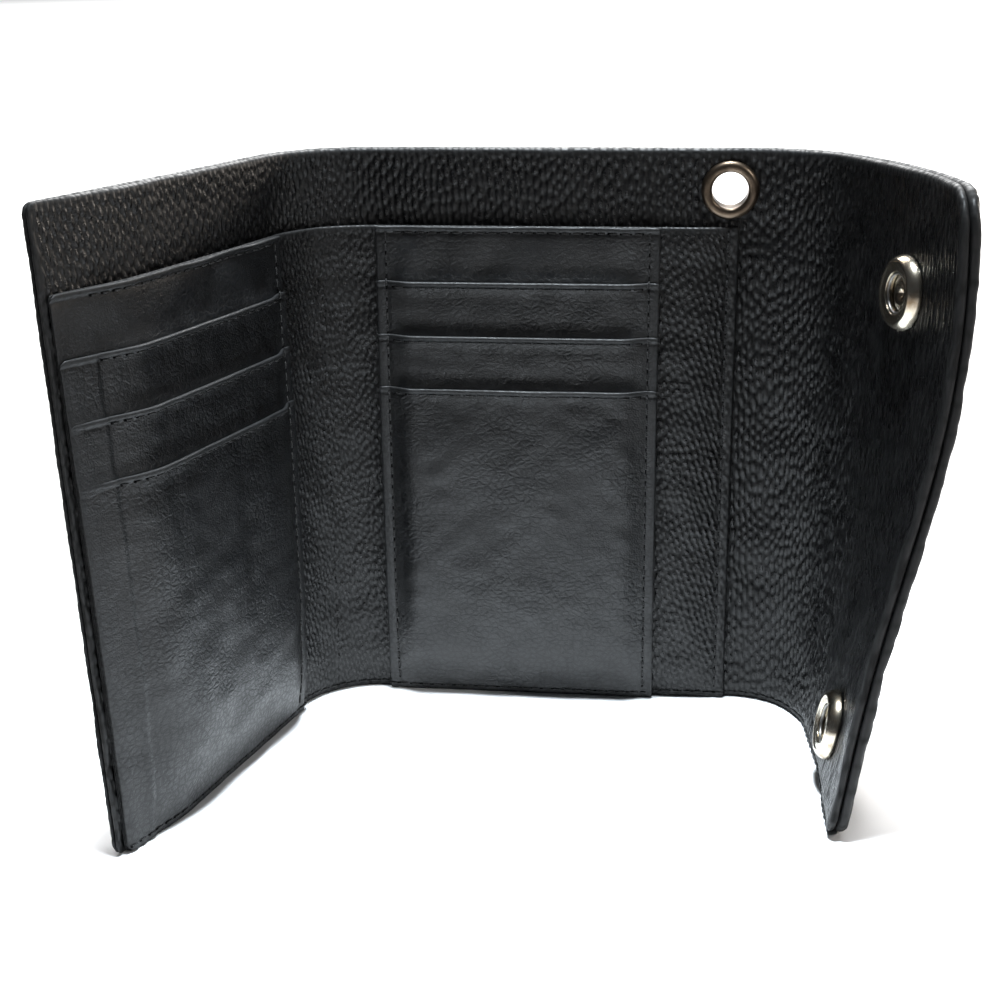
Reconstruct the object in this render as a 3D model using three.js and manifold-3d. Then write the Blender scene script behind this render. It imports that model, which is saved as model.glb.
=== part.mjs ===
// A trifold chain wallet in black leather, standing open on its bottom edge.
//
// Millimetres, +Z up. The inside of the wallet faces -Y. The origin is on the bottom edge of the outer
// shell, in the middle of its thickness, below the middle of the centre card stack.
//
// Every sheet of leather is drawn flat and then bent. A place on the leather is (u, v, w): u runs along
// the unfolded wallet from the middle of the centre card stack, v runs up from the bottom edge, and w
// runs in from the face of the lining, so the lining and the shell lie at negative w.

import * as THREE from 'three';
import { mergeVertices } from 'three/addons/utils/BufferGeometryUtils.js';
import Module from 'manifold-3d';

const manifold = await Module();
manifold.setup();

// Driving dimensions of the leather
const HEIGHT = 128;
const STACK_WIDTH = 62.7;
const POCKET_TOP = 111.5;
const SLOT_STEP = 12;
const SLOT_COUNT = 3;
const BILL_RIGHT_EDGE = 48.2;
const EDGE_INSET = 1.5;

// Each layer's outer and inner w
const SHELL = { outer: -3.9, inner: -1.9 };
const LINING = { outer: -1.6, inner: 0 };
const BILL_PANEL = { outer: 1.2, inner: 2.2 };
const BACKING = { outer: 2.5, inner: 3.2 };
const SLOT_THICKNESS = 0.6;
const LAYER_GAP = 0.3;

// Half of the shell's thickness lies on each side of the origin
const LINING_Y = (SHELL.outer + SHELL.inner) / 2;

// The bent wallet's plan is a chain of arcs on each side of the middle. An arc's turn in degrees changes
// with height: from its value at the bottom to its value at the top, plus a bulge that is greatest at
// mid height and a sway that is greatest at a quarter and, the other way, at three quarters.
// A step is the longest straight facet that the arc is cut into.
const LEFT_SECTIONS = [
  { length: STACK_WIDTH / 2, turn: { bottom: 0, top: 0, bulge: 0, sway: 0 }, step: Infinity },
  { length: 28.0, turn: { bottom: 75.4, top: 73.7, bulge: 0, sway: 0 }, step: 3 },
  { length: 72.0, turn: { bottom: 1.2, top: -5.7, bulge: 0, sway: 0 }, step: 12 },
];
const RIGHT_SECTIONS = [
  { length: 49.2, turn: { bottom: 0, top: 0, bulge: 0, sway: 0 }, step: Infinity },
  { length: 24.8, turn: { bottom: 84.6, top: 57.3, bulge: -5.0, sway: -3.5 }, step: 3 },
  { length: 50.8, turn: { bottom: 7.0, top: 29.7, bulge: 3.8, sway: 12.6 }, step: 7 },
];
const LEFT_EDGE = -LEFT_SECTIONS.reduce((sum, section) => sum + section.length, 0);
const RIGHT_EDGE = RIGHT_SECTIONS.reduce((sum, section) => sum + section.length, 0);
const LEFT_STACK_START = -(STACK_WIDTH / 2 + LEFT_SECTIONS[1].length);

// Hinge lines, and the room that each layer leaves on both sides of one so that the fold can move
const LEFT_HINGES = { centre: -38.8, panel: -51.9 };
const RIGHT_HINGES = { centre: 53.3, flap: 79.5 };
const LEFT_HINGE_ROOM = 1.3;
const RIGHT_HINGE_ROOM = 1.3;
const BILL_HINGE_ROOM = 2.4;

// Rounded corners at the free edges
const LEFT_CORNERS = { at: LEFT_EDGE, bottomRadius: 2.2, topRadius: 3 };
const LEFT_POCKET_CORNERS = { at: LEFT_EDGE + EDGE_INSET, bottomRadius: 2.2, topRadius: 0.5 };
const FLAP_CORNERS = { at: RIGHT_EDGE, bottomRadius: 6, topRadius: 8 };

// Metal fittings
const EYELET = { u: 46, v: 119.3, bore: 3.9, tube: 4.4, rim: 6, leatherHole: 4.7 };
const SNAP = { u: 100.6, radius: 7.55, post: 2.0, leatherHole: 2.3 };
const SNAP_HEIGHTS = { lower: 13.5, upper: 104.7 };
const STUD = { u: LEFT_EDGE + 11.4, post: 1.9, bore: 2.2, base: 5.6 };
const SPRING = { radius: 3.95, wire: 0.35, height: 1.85, open: 40 };

// Fineness of the facets
const ROWS = 8;
const CORNER_STEPS = 4;
const ROUND_SEGMENTS = 24;
const HOLE_SEGMENTS = 16;

const grainLeather = { color: 0x1c1c1f, roughness: 0.5, metalness: 0 };
const smoothLeather = { color: 0x222327, roughness: 0.4, metalness: 0 };
const nickel = { color: 0xc8c0b4, roughness: 0.25, metalness: 1 };
const springSteel = { color: 0x9a9ca0, roughness: 0.35, metalness: 1 };

const wallet = new THREE.Group();

// ---------------------------------------------------------------- Bending the leather

function turnAt(section, v) {
  const { bottom, top, bulge, sway } = section.turn;
  const t = v / HEIGHT;
  const level = bottom + (top - bottom) * t;
  const degrees = level + bulge * 4 * t * (1 - t) + sway * Math.sin(2 * Math.PI * t);
  return THREE.MathUtils.degToRad(degrees);
}

function chordRatio(turn) {
  return Math.abs(turn) < 1e-6 ? 1 : Math.sin(turn / 2) / (turn / 2);
}

function place(u, v, w) {
  const side = u < 0 ? -1 : 1;
  const sections = side < 0 ? LEFT_SECTIONS : RIGHT_SECTIONS;
  let remaining = Math.abs(u);
  let heading = 0;
  let x = 0;
  let y = LINING_Y;
  for (const section of sections) {
    const travelled = Math.min(remaining, section.length);
    const turn = (turnAt(section, v) * travelled) / section.length;
    const chord = travelled * chordRatio(turn);
    x += chord * Math.cos(heading + turn / 2);
    y -= chord * Math.sin(heading + turn / 2);
    heading += turn;
    remaining -= travelled;
  }
  return new THREE.Vector3(side * (x - w * Math.sin(heading)), y - w * Math.cos(heading), v);
}

// Moves a shape whose +Y is the way in through the leather to a place on the lining's face
function seatMatrix(u, v) {
  const reach = 0.5;
  const along = place(u + reach, v, 0).sub(place(u - reach, v, 0));
  const up = place(u, v + reach, 0).sub(place(u, v - reach, 0));
  const inward = along.clone().cross(up).normalize();
  const down = up.normalize().negate();
  const side = inward.clone().cross(down);
  return new THREE.Matrix4().makeBasis(side, inward, down).setPosition(place(u, v, 0));
}

// ---------------------------------------------------------------- Leather sheets

function stepAt(u) {
  const sections = u < 0 ? LEFT_SECTIONS : RIGHT_SECTIONS;
  let end = 0;
  for (const section of sections) {
    end += section.length;
    if (Math.abs(u) < end) return section.step;
  }
  return Infinity;
}

function sectionEdges() {
  const edges = [];
  for (const [side, sections] of [[-1, LEFT_SECTIONS], [1, RIGHT_SECTIONS]]) {
    let end = 0;
    for (const section of sections) {
      end += section.length;
      edges.push(side * end);
    }
  }
  return edges;
}

function stationsAlong(sheet) {
  const marks = [sheet.from, sheet.to, ...sectionEdges()];
  if (sheet.corners) {
    const { at, bottomRadius, topRadius } = sheet.corners;
    const radius = Math.max(bottomRadius, topRadius);
    for (let k = 1; k <= CORNER_STEPS; k += 1) {
      const inset = radius * (1 - Math.cos((k * Math.PI) / 2 / CORNER_STEPS));
      marks.push(at - Math.sign(at) * inset);
    }
  }
  const inside = marks.filter((u) => u >= sheet.from && u <= sheet.to).sort((a, b) => a - b);
  const stations = [];
  for (let i = 0; i < inside.length - 1; i += 1) {
    const span = inside[i + 1] - inside[i];
    const count = Math.max(1, Math.ceil(span / stepAt(inside[i] + span / 2)));
    for (let k = 0; k < count && span > 0; k += 1) stations.push(inside[i] + (span * k) / count);
  }
  return [...stations, sheet.to];
}

function cornerRise(distance, radius) {
  if (distance >= radius) return 0;
  return radius - Math.sqrt(radius ** 2 - (radius - distance) ** 2);
}

function heightsAt(u, { bottom = 0, top = HEIGHT, corners }) {
  if (!corners) return [bottom, top];
  const distance = Math.abs(u - corners.at);
  const low = bottom === 0 ? cornerRise(distance, corners.bottomRadius) : 0;
  return [bottom + low, top - cornerRise(distance, corners.topRadius)];
}

// A sheet of one layer between two places along the wallet, as one closed grid of facets
function leatherGeometry(sheet) {
  const stations = stationsAlong(sheet);
  const flat = stations.length === 2;
  const rows = flat ? 1 : ROWS;
  const positions = [];
  for (const w of [sheet.layer.outer, sheet.layer.inner]) {
    for (const u of stations) {
      const [low, high] = heightsAt(u, sheet);
      for (let row = 0; row <= rows; row += 1) {
        positions.push(...place(u, low + ((high - low) * row) / rows, w).toArray());
      }
    }
  }
  const last = stations.length - 1;
  const at = (side, column, row) => (side * stations.length + column) * (rows + 1) + row;
  const indices = [];
  const quad = (a, b, c, d) => indices.push(a, b, c, a, c, d);
  for (let column = 0; column < last; column += 1) {
    const next = column + 1;
    for (let row = 0; row < rows; row += 1) {
      quad(at(1, column, row), at(1, next, row), at(1, next, row + 1), at(1, column, row + 1));
      quad(at(0, column, row), at(0, column, row + 1), at(0, next, row + 1), at(0, next, row));
    }
    quad(at(0, column, 0), at(0, next, 0), at(1, next, 0), at(1, column, 0));
    quad(at(1, column, rows), at(1, next, rows), at(0, next, rows), at(0, column, rows));
  }
  for (let row = 0; row < rows; row += 1) {
    quad(at(0, 0, row), at(1, 0, row), at(1, 0, row + 1), at(0, 0, row + 1));
    quad(at(1, last, row), at(0, last, row), at(0, last, row + 1), at(1, last, row + 1));
  }
  const geometry = new THREE.BufferGeometry();
  geometry.setAttribute('position', new THREE.Float32BufferAttribute(positions, 3));
  geometry.setIndex(indices);
  return geometry;
}

function toSolid(geometry) {
  const bare = geometry.clone();
  bare.deleteAttribute('normal');
  bare.deleteAttribute('uv');
  const merged = mergeVertices(bare, 1e-4);
  const vertProperties = merged.attributes.position.array;
  const triVerts = new Uint32Array(merged.index.array);
  return new manifold.Manifold(new manifold.Mesh({ numProp: 3, vertProperties, triVerts }));
}

function toGeometry(solid) {
  const mesh = solid.getMesh();
  const geometry = new THREE.BufferGeometry();
  geometry.setAttribute('position', new THREE.BufferAttribute(mesh.vertProperties, 3));
  geometry.setIndex(new THREE.BufferAttribute(mesh.triVerts, 1));
  return geometry;
}

function punch(geometry, holes) {
  const depth = 16;
  let solid = toSolid(geometry);
  for (const { u, v, radius } of holes) {
    const hole = new THREE.CylinderGeometry(radius, radius, depth, HOLE_SEGMENTS);
    solid = solid.subtract(toSolid(hole.applyMatrix4(seatMatrix(u, v))));
  }
  return toGeometry(solid);
}

function addLeather(name, finish, sheet, holes = []) {
  const blank = leatherGeometry(sheet);
  const geometry = holes.length ? punch(blank, holes) : blank;
  const mesh = new THREE.Mesh(geometry, new THREE.MeshStandardMaterial(finish));
  mesh.name = name;
  wallet.add(mesh);
}

// ---------------------------------------------------------------- Shell, lining and bill compartment

const eyeletHole = [{ u: EYELET.u, v: EYELET.v, radius: EYELET.leatherHole }];
const snapHoles = Object.values(SNAP_HEIGHTS).map((v) => ({ u: SNAP.u, v, radius: SNAP.leatherHole }));
const studHoles = Object.values(SNAP_HEIGHTS).map((v) => ({ u: STUD.u, v, radius: SNAP.leatherHole }));

// One stretch of the wallet for each rigid body between two hinge lines
const STRETCHES = [
  {
    where: 'left',
    from: LEFT_EDGE,
    to: LEFT_HINGES.panel - LEFT_HINGE_ROOM,
    corners: LEFT_CORNERS,
    holes: studHoles,
  },
  {
    where: 'left_fold',
    from: LEFT_HINGES.panel + LEFT_HINGE_ROOM,
    to: LEFT_HINGES.centre - LEFT_HINGE_ROOM,
  },
  {
    where: 'centre',
    from: LEFT_HINGES.centre + LEFT_HINGE_ROOM,
    to: RIGHT_HINGES.centre - RIGHT_HINGE_ROOM,
    holes: eyeletHole,
  },
  {
    where: 'right_fold',
    from: RIGHT_HINGES.centre + RIGHT_HINGE_ROOM,
    to: RIGHT_HINGES.flap - RIGHT_HINGE_ROOM,
  },
  {
    where: 'flap',
    from: RIGHT_HINGES.flap + RIGHT_HINGE_ROOM,
    to: RIGHT_EDGE,
    corners: FLAP_CORNERS,
    holes: snapHoles,
  },
];
for (const { where, holes, ...stretch } of STRETCHES) {
  addLeather(`shell_${where}`, grainLeather, { ...stretch, layer: SHELL }, holes);
  addLeather(`lining_${where}`, grainLeather, { ...stretch, layer: LINING }, holes);
}

// The panel in front of the lining that makes the bill compartment, open along its top edge
const BILL_STRETCHES = [
  {
    where: 'left',
    from: LEFT_EDGE + EDGE_INSET,
    to: LEFT_HINGES.panel - BILL_HINGE_ROOM,
    corners: LEFT_POCKET_CORNERS,
  },
  {
    where: 'left_fold',
    from: LEFT_HINGES.panel + BILL_HINGE_ROOM,
    to: LEFT_HINGES.centre - BILL_HINGE_ROOM,
  },
  {
    where: 'centre',
    from: LEFT_HINGES.centre + BILL_HINGE_ROOM,
    to: BILL_RIGHT_EDGE,
  },
];
for (const { where, ...stretch } of BILL_STRETCHES) {
  addLeather(`bill_panel_${where}`, grainLeather, { ...stretch, top: POCKET_TOP, layer: BILL_PANEL });
}

// ---------------------------------------------------------------- Card stacks

// A backing and its slots. Each slot lies on the one before it and starts one step lower, and each pocket
// is as deep as the next, so only the last one reaches the bottom edge.
function addCardStack(where, stretch) {
  addLeather(`${where}_backing`, smoothLeather, { ...stretch, top: POCKET_TOP, layer: BACKING });
  for (let number = 1; number <= SLOT_COUNT; number += 1) {
    const outer = BACKING.inner + LAYER_GAP + (number - 1) * (SLOT_THICKNESS + LAYER_GAP);
    const layer = { outer, inner: outer + SLOT_THICKNESS };
    const bottom = (SLOT_COUNT - number) * SLOT_STEP;
    const top = POCKET_TOP - number * SLOT_STEP;
    addLeather(`${where}_slot_${number}`, smoothLeather, { ...stretch, bottom, top, layer });
  }
}

addCardStack('centre', { from: -STACK_WIDTH / 2, to: STACK_WIDTH / 2 });
addCardStack('left', { from: LEFT_EDGE + EDGE_INSET, to: LEFT_STACK_START, corners: LEFT_POCKET_CORNERS });

// ---------------------------------------------------------------- Metal fittings

// Turns a closed profile of [radius, w] points about the line through a place on the leather
function addFitting(name, finish, u, v, profile) {
  const points = profile.map(([radius, w]) => new THREE.Vector2(radius, w));
  const geometry = new THREE.LatheGeometry(points, ROUND_SEGMENTS);
  const mesh = new THREE.Mesh(geometry, new THREE.MeshStandardMaterial(finish));
  mesh.name = name;
  seatMatrix(u, v).decompose(mesh.position, mesh.quaternion, mesh.scale);
  wallet.add(mesh);
}

// The eyelet's flanged barrel passes through shell and lining, and its end is rolled over the washer
function addEyelet() {
  const { u, v, bore, tube, rim } = EYELET;
  addFitting('eyelet_barrel', nickel, u, v, [
    [tube, 0.3],
    [rim, 0.3],
    [rim, 0.7],
    [rim - 0.4, 1.2],
    [tube, 1.2],
    [bore, 0.7],
    [bore, -5.6],
    [rim - 0.7, -5.6],
    [rim - 0.7, -5.2],
    [tube, -5.2],
    [tube, 0.3],
  ]);
  addFitting('eyelet_washer', nickel, u, v, [
    [tube + 0.3, -4.9],
    [rim, -4.9],
    [rim, -4.2],
    [tube + 0.3, -4.2],
    [tube + 0.3, -4.9],
  ]);
}

// The domed cap lies outside the flap, and its post goes through the leather and is headed in the socket
function addSnapCap(level, v) {
  const { radius, post } = SNAP;
  const base = -4.3;
  const rimBottom = base - 0.6;
  const domeHeight = 2.0;
  const dome = [];
  const domeSteps = 5;
  for (let k = 1; k <= domeSteps; k += 1) {
    const angle = (k * Math.PI) / 2 / domeSteps;
    dome.unshift([radius * Math.cos(angle), rimBottom - domeHeight * Math.sin(angle)]);
  }
  dome[0][0] = 0;
  addFitting(`snap_cap_${level}`, nickel, SNAP.u, v, [
    ...dome,
    [radius, rimBottom],
    [radius - 0.2, base],
    [post, base],
    [post, 1.45],
    [3.0, 1.45],
    [2.7, 1.85],
    [0, 1.85],
  ]);
}

// The socket is a flanged ring with a well for the stud and a lip that keeps the ring spring in
function addSnapSocket(level, v) {
  const { radius } = SNAP;
  addFitting(`snap_socket_${level}`, nickel, SNAP.u, v, [
    [2.4, 0.45],
    [radius, 0.45],
    [radius, 1.0],
    [radius - 0.5, 1.5],
    [6.2, 1.5],
    [5.7, 2.0],
    [5.5, 2.9],
    [5.1, 3.2],
    [4.3, 3.2],
    [3.95, 2.9],
    [4.55, 2.5],
    [4.55, 1.15],
    [2.4, 1.15],
    [2.4, 0.45],
  ]);
}

// An open ring of round wire
function addRingSpring(level, v) {
  const { radius, wire, height, open } = SPRING;
  const start = THREE.MathUtils.degToRad(open / 2);
  const sweep = THREE.MathUtils.degToRad(360 - open);
  const path = new THREE.Curve();
  path.getPoint = (t) => {
    const angle = start + sweep * t;
    return new THREE.Vector3(radius * Math.cos(angle), height, radius * Math.sin(angle));
  };
  const section = new THREE.Shape().absarc(0, 0, wire, 0, 2 * Math.PI);
  const options = { steps: 20, curveSegments: 4, bevelEnabled: false, extrudePath: path };
  const geometry = new THREE.ExtrudeGeometry(section, options);
  const mesh = new THREE.Mesh(geometry, new THREE.MeshStandardMaterial(springSteel));
  mesh.name = `ring_spring_${level}`;
  seatMatrix(SNAP.u, v).decompose(mesh.position, mesh.quaternion, mesh.scale);
  wallet.add(mesh);
}

// The stud stands on the outside of the left panel, on a post whose head lies in the bill compartment
function addStud(level, v) {
  const { u, post, bore, base } = STUD;
  addFitting(`stud_${level}`, nickel, u, v, [
    [bore, -6.9],
    [2.9, -6.9],
    [3.2, -6.5],
    [3.2, -6.1],
    [2.8, -5.5],
    [2.8, -4.9],
    [base, -4.9],
    [base, -4.2],
    [bore, -4.2],
    [bore, -6.9],
  ]);
  addFitting(`stud_post_${level}`, nickel, u, v, [
    [0, -6.6],
    [post, -6.6],
    [post, 0.3],
    [4.5, 0.3],
    [4.5, 0.8],
    [0, 0.8],
  ]);
}

addEyelet();
for (const [level, v] of Object.entries(SNAP_HEIGHTS)) {
  addSnapCap(level, v);
  addSnapSocket(level, v);
  addRingSpring(level, v);
  addStud(level, v);
}

export default wallet;
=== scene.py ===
"""A trifold chain wallet in black leather, standing open on its bottom edge.

Lengths are in millimetres up to the point where a mesh is made, which is in metres. Every sheet of leather
is drawn flat and then bent, as in the CAD part: a place on the leather is (u, v, w), where u runs along the
unfolded wallet from the middle of the centre card stack, v runs up from the bottom edge, and w runs in from
the face of the lining.
"""

import math
from collections import namedtuple

import bpy
import numpy as np
from mathutils import Matrix, Vector


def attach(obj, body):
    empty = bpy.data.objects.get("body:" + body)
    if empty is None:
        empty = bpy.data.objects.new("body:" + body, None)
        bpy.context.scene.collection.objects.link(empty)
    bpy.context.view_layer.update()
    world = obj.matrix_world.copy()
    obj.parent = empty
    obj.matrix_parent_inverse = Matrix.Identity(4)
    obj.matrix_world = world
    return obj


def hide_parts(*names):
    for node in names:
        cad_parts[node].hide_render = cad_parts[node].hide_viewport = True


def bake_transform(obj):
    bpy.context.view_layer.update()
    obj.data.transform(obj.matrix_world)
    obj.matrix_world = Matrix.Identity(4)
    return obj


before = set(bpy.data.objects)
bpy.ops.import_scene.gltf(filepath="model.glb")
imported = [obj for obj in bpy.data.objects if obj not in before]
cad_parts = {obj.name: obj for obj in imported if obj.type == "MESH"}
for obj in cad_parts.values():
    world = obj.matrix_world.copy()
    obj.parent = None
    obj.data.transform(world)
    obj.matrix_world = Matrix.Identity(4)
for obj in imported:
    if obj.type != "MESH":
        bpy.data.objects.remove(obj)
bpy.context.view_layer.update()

MM = 0.001

# Driving dimensions of the leather, which are those of the CAD part
HEIGHT = 128.0
STACK_WIDTH = 62.7
POCKET_TOP = 111.5
SLOT_STEP = 12.0
SLOT_COUNT = 3
BILL_RIGHT_EDGE = 48.2
EDGE_INSET = 1.5
LINING_Y = -2.9

Section = namedtuple("Section", "length bottom top bulge sway")
LEFT_SECTIONS = [
    Section(STACK_WIDTH / 2, 0, 0, 0, 0),
    Section(28.0, 75.4, 73.7, 0, 0),
    Section(72.0, 1.2, -5.7, 0, 0),
]
RIGHT_SECTIONS = [
    Section(49.2, 0, 0, 0, 0),
    Section(24.8, 84.6, 57.3, -5.0, -3.5),
    Section(50.8, 7.0, 29.7, 3.8, 12.6),
]
LEFT_EDGE = -sum(section.length for section in LEFT_SECTIONS)
RIGHT_EDGE = sum(section.length for section in RIGHT_SECTIONS)
LEFT_STACK_START = -(STACK_WIDTH / 2 + LEFT_SECTIONS[1].length)

# Where the leather bends, and the corners of its free edges
LEFT_HINGES = {"centre": -38.8, "panel": -51.9}
RIGHT_HINGES = {"centre": 53.3, "flap": 79.5}
LEFT_CORNER = 2.2
FLAP_BOTTOM_CORNER = 6.0
FLAP_TOP_CORNER = 8.0

# Outer and inner w of each layer
Layer = namedtuple("Layer", "outer inner")
SHELL = Layer(-3.9, -1.8)
LINING = Layer(-1.7, 0.0)
BILL_PANEL = Layer(1.2, 2.2)
BACKING_THICKNESS = 0.7
SLOT_THICKNESS = 0.6
SLOT_GAP = 0.3

# Metal fittings
EYELET = {"u": 46.0, "v": 119.3, "bore": 3.9, "tube": 4.4, "rim": 6.0}
SNAP_U = 100.6
SNAP_RADIUS = 7.55
SNAP_HEIGHTS = {"lower": 13.5, "upper": 104.7}
STUD_U = LEFT_EDGE + 11.4

# Sewing
STITCH_PITCH = 2.6
STITCH_LENGTH = 2.0
THREAD_RADIUS = 0.22
STACK_SEAM_INSET = 2.3
SLOT_SEAM_DROP = 1.4
BOTTOM_SEAM_RISE = 1.3


# ---- Bending the leather


def smooth(value):
    """0 below 0, 1 above 1, and a smooth step between them."""
    t = np.clip(value, 0.0, 1.0)
    return t * t * (3 - 2 * t)


def turn_at(section, v):
    t = v / HEIGHT
    level = section.bottom + (section.top - section.bottom) * t
    return np.radians(level + section.bulge * 4 * t * (1 - t) + section.sway * np.sin(2 * np.pi * t))


def bend(distance, v, sections):
    """How far along and how far forward a distance from the middle ends, and its heading there."""
    along = np.zeros_like(distance)
    forward = np.zeros_like(distance)
    heading = np.zeros_like(distance)
    remaining = distance
    for section in sections:
        travelled = np.minimum(remaining, section.length)
        turn = turn_at(section, v) * travelled / section.length
        chord = travelled * np.sinc(turn / (2 * np.pi))
        along = along + chord * np.cos(heading + turn / 2)
        forward = forward + chord * np.sin(heading + turn / 2)
        heading = heading + turn
        remaining = remaining - travelled
    return along, forward, heading


def place(u, v, w):
    """Points in the row frame, in metres, of places on the leather."""
    u, v, w = np.broadcast_arrays(*(np.asarray(x, float) for x in (u, v, w)))
    left = bend(np.maximum(-u, 0), v, LEFT_SECTIONS)
    right = bend(np.maximum(u, 0), v, RIGHT_SECTIONS)
    along, forward, heading = (np.where(u < 0, a, b) for a, b in zip(left, right))
    side = np.where(u < 0, -1.0, 1.0)
    x = side * (along - w * np.sin(heading))
    y = LINING_Y - forward - w * np.cos(heading)
    return np.stack([x, y, v], -1) * MM


def seat_matrix(u, v):
    """Turns a shape whose +Y is the way in through the leather to a place on it."""
    reach = 0.5
    along = Vector(place(u + reach, v, 0) - place(u - reach, v, 0))
    up = Vector(place(u, v + reach, 0) - place(u, v - reach, 0))
    inward = along.cross(up).normalized()
    down = -up.normalized()
    side = inward.cross(down)
    turned = Matrix((side, inward, down)).transposed().to_4x4()
    return Matrix.Translation(Vector(place(u, v, 0))) @ turned


# ---- Relief of the leather

FOLD_MIDDLES = [sum(LEFT_HINGES.values()) / 2, sum(RIGHT_HINGES.values()) / 2]
GRAIN_MARKS = np.linspace(LEFT_EDGE - 5, RIGHT_EDGE + 5, 600)


def groove(distance, width):
    """1 in the middle of a seam and 0 away from it."""
    return np.exp(-((distance / width) ** 2))


# Where the grain is drawn together across the wallet: the place, how far it reaches, and by how much
Squeeze = namedtuple("Squeeze", "middle reach amount")
SQUEEZES = [Squeeze(-45.0, 11.0, 0.35), Squeeze(78.0, 17.0, 0.6)]


def squeezed_marks():
    tightness = 1 + sum(s.amount * groove(GRAIN_MARKS - s.middle, s.reach) for s in SQUEEZES)
    return np.cumsum(tightness) * (GRAIN_MARKS[1] - GRAIN_MARKS[0])


SQUEEZED_MARKS = squeezed_marks()


def grain_across(u):
    """u with the grain's cells drawn closer together where the leather bends."""
    return np.interp(u, GRAIN_MARKS, SQUEEZED_MARKS)


def ripple(u, v, length, seed):
    """A smooth irregular wave of about unit height, whose waves are about length long."""
    random = np.random.default_rng(seed)
    count = 14
    total = np.zeros(np.broadcast(u, v).shape)
    for _ in range(count):
        angle, phase = random.uniform(0, 2 * np.pi, 2)
        wavelength = length * random.uniform(0.7, 1.6)
        travel = u * np.cos(angle) + v * np.sin(angle)
        total = total + np.sin(2 * np.pi * travel / wavelength + phase)
    return total / math.sqrt(count / 2)


def scatter(column, row, seed):
    """The same number from -1 to 1 each time for one cell of a grid."""
    mixed = np.sin(column * 127.1 + row * 311.7 + seed * 74.7) * 43758.5453
    return 2 * (mixed - np.floor(mixed)) - 1


# Width, height, slant and depth of each leather's pebbles, and the seed of their scatter
Grain = namedtuple("Grain", "wide high slant depth seed")
SHELL_GRAIN = Grain(1.7, 2.4, 0.0, 0.38, 3)
LINING_GRAIN = Grain(1.4, 2.9, 0.06, 0.54, 5)
BILL_GRAIN = Grain(1.3, 1.9, 0.35, 0.44, 7)

# How pebbles vary, in pebbles: how far columns and rows wander over a length of leather, how far a pebble
# lies off the middle of its cell, and how wide the creases are
PEBBLE_WANDER = 0.12
WANDER_LENGTH = 16
OFF_MIDDLE_U, OFF_MIDDLE_V = 0.24, 0.36
CREASE_WIDTH = 0.45


def drawn_out(across):
    """How much longer than elsewhere the pebbles are: the leather is stretched on the flap."""
    u = np.interp(across, SQUEEZED_MARKS, GRAIN_MARKS)
    return 1 + 1.3 * smooth((u - RIGHT_HINGES["flap"] + 6) / 20)


def pebbles(grain, u, v):
    """1 on top of each pebble of the grain, falling to 0 in the creases between pebbles.

    Pebbles stand in upright columns, and every other column is half a pebble lower.
    """
    wander_u, wander_v = (PEBBLE_WANDER * ripple(u, v, WANDER_LENGTH, grain.seed + k) for k in (0, 1))
    x = (grain_across(u) + grain.slant * v) / grain.wide + wander_u
    column = np.floor(x)
    own, along, between = (np.full(x.shape, 9.0) for _ in range(3))
    for beside in (-1, 0, 1):
        cell_u = column + beside
        y = v / (grain.high * drawn_out(cell_u * grain.wide)) + wander_v + 0.5 * (cell_u % 2)
        row = np.floor(y)
        first = second = np.full(x.shape, 9.0)
        for above in (-1, 0, 1):
            cell_v = row + above
            middle_u = cell_u + 0.5 + OFF_MIDDLE_U * scatter(cell_u, cell_v, grain.seed)
            middle_v = cell_v + 0.5 + OFF_MIDDLE_V * scatter(cell_v, cell_u, grain.seed + 11)
            distance = np.hypot(x - middle_u, y - middle_v)
            second = np.minimum(second, np.maximum(first, distance))
            first = np.minimum(first, distance)
        closer = first < own
        between = np.where(closer, own, np.minimum(between, first))
        along = np.where(closer, second, along)
        own = np.minimum(own, first)
    upright = smooth((between - own) / CREASE_WIDTH)
    level = smooth((along - own) / CREASE_WIDTH)
    return upright * (0.45 + 0.55 * level) * (1.05 - 0.9 * own**2)


# Half-width and depth of the groove that each seam pulls into the leather
Seam = namedtuple("Seam", "width depth")
SHELL_SEAM = Seam(0.8, 0.3)
LINING_SEAM = Seam(0.7, 0.22)
BACKING_SEAM = Seam(0.6, 0.18)
SLOT_TOP_SEAM = Seam(0.45, 0.15)
SLOT_SIDE_SEAM = Seam(0.7, 0.2)

# Height and length of the waves that keep each face from lying flat
Wave = namedtuple("Wave", "height length")
SHELL_WAVE = Wave(0.08, 16)
LINING_WAVE = Wave(0.12, 13)
BILL_WAVE = Wave(0.1, 11)
BACKING_WAVE = Wave(0.22, 14)
POCKET_WAVE = Wave(0.16, 17)
WRINKLE = Wave(0.05, 5)

# How far the layers move in at the left panel's near edge, where they are pared thin and pressed
PARED_REACH = 20.0
SHELL_PARED, JOINT_PARED, LINING_PARED = 0.9, 0.25, 1.1
WORN_EDGE = 2.2
BILL_WORN_EDGE = 1.6
SEWN_GAP = 0.15


def waves(wave, u, v, seed):
    return wave.height * ripple(u, v, wave.length, seed)


def worn(u, v, right, top, reach):
    """1 at the edges of a layer, where its grain is rubbed flat, falling to 0 at the given reach."""
    to_edge = np.minimum(np.minimum(u - LEFT_EDGE, right - u), np.minimum(v, top - v))
    return 1 - smooth(to_edge / reach)


def grain_relief(grain, u, v, calm):
    """Height of the grain, which is rubbed flat where calm is 1."""
    return grain.depth * (1 - calm) * (pebbles(grain, u, v) - 0.6)


def near_edge(u):
    """0 at the left panel's near edge, 1 where the layers are free of it."""
    return smooth((u - (LEFT_EDGE + EDGE_INSET)) / PARED_REACH)


def pared(amount, u):
    """How much of its full move at the near edge a face makes at u."""
    return amount * (1 - near_edge(u))


def thinned(u):
    """How much of its thickness a layer keeps at u."""
    return 0.3 + 0.7 * near_edge(u)


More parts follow.
